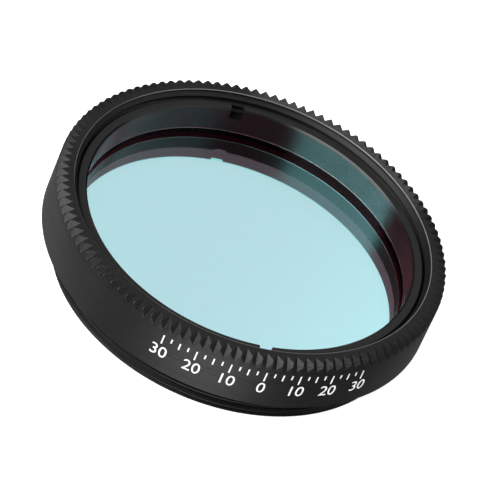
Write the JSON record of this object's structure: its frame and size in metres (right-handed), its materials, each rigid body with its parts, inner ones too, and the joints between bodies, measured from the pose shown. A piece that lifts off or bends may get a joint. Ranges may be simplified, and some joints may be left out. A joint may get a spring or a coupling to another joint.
{
  "type": "screw-in optical filter",
  "caption": "Round optical filter: a coated glass disc in a black knurled cell with a screw spigot, held by a slotted retaining ring.",
  "frame": {"origin": "middle of the spigot's end face, which the filter stands on", "axes": "+Z along the optical axis, out of the front face; one spanner slot of the retaining ring at -Y"},
  "size_m": [0.031, 0.031, 0.0071],
  "materials": {
    "black_anodised_cell": "fine satin black anodised, turned",
    "black_anodised_ring": "smooth black anodised, turned",
    "coated_glass": "polished, reflective coating, pale cyan in reflection"
  },
  "bodies": {
    "root": {"filter_cell": "black_anodised_cell", "retaining_ring": "black_anodised_ring", "filter_glass": "coated_glass"}
  },
  "joints": []
}
